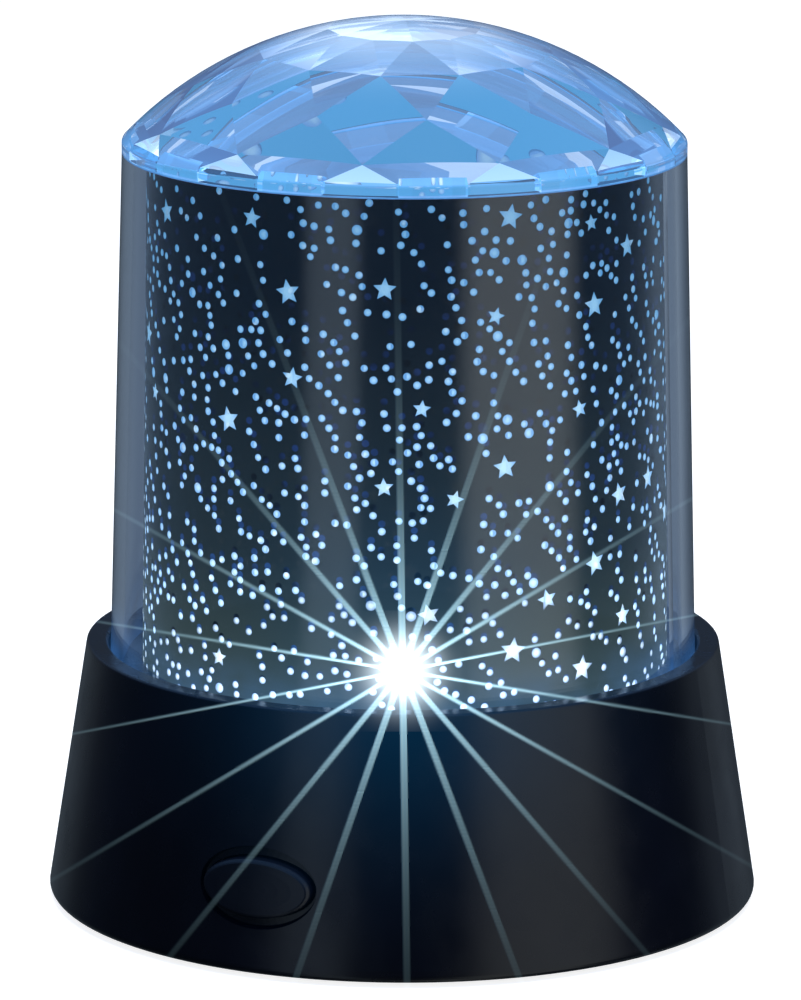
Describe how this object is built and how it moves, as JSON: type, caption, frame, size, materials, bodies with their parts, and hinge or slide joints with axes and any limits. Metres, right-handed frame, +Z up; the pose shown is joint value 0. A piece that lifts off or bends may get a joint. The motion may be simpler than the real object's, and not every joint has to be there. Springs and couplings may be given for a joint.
{
  "type": "star night light projector",
  "caption": "Battery night light: black round base with an oval push button, and a lift-off clear shade with a star film and a faceted dome lens.",
  "frame": {"origin": "middle of the base at the table, under the rubber feet", "axes": "+Z up the axis of the shade, -Y towards the push button"},
  "size_m": [0.115, 0.115, 0.143],
  "materials": {
    "black_plastic": "satin",
    "clear_plastic": "clear, polished",
    "star_film": "printed film",
    "rubber": "matte",
    "screw_steel": "zinc plated",
    "spring_steel": "nickel plated",
    "cell_jacket": "plain",
    "circuit_board": "solder mask",
    "component_black": "moulded",
    "stem_plastic": "moulded",
    "led_lens": "lit",
    "wire": "PVC"
  },
  "bodies": {
    "base": {"base_housing": "black_plastic", "bottom_plate": "black_plastic", "housing_screws": "screw_steel", "rubber_feet": "rubber", "aa_cells": "cell_jacket", "contact_springs": "spring_steel", "contact_plates": "spring_steel", "led_board": "circuit_board", "led_board_screws": "screw_steel", "star_led": "led_lens", "board_parts": "component_black", "switch_board": "circuit_board", "switch_board_screws": "screw_steel", "push_switch": "component_black", "supply_wires": "wire", "switch_wires": "wire"},
    "button": {"star_button": "black_plastic"},
    "stem": {"switch_stem": "stem_plastic"},
    "door": {"battery_door": "black_plastic"},
    "door_screw": {"door_screw": "screw_steel"},
    "shade": {"shade_tube": "clear_plastic", "star_film": "star_film", "film_retainer": "black_plastic", "lens_dome": "clear_plastic"}
  },
  "joints": [
    {"name": "shade_lift", "type": "slide", "parent": "base", "child": "shade", "axis": [0, 0, 1], "range_m": [0, 0.07]},
    {"name": "button_press", "type": "slide", "parent": "base", "child": "button", "axis": [0, 1, 0], "range_m": [0, 0.0015], "stiffness_N_per_m": 600, "springref_m": -0.001},
    {"name": "stem_press", "type": "slide", "parent": "base", "child": "stem", "axis": [0, 1, 0], "range_m": [0, 0.0015]},
    {"name": "door_swing", "type": "hinge", "parent": "base", "child": "door", "pos_m": [0, 0.0238, 0.0006], "axis": [1, 0, 0], "range_deg": [0, 70]},
    {"name": "door_screw_turn", "type": "hinge", "parent": "door", "child": "door_screw", "pos_m": [0, -0.0263, 0.0026], "axis": [0, 0, 1], "continuous": true}
  ],
  "couplings": [
    {"joint": "stem_press", "follows": "button_press", "ratio": 1}
  ]
}
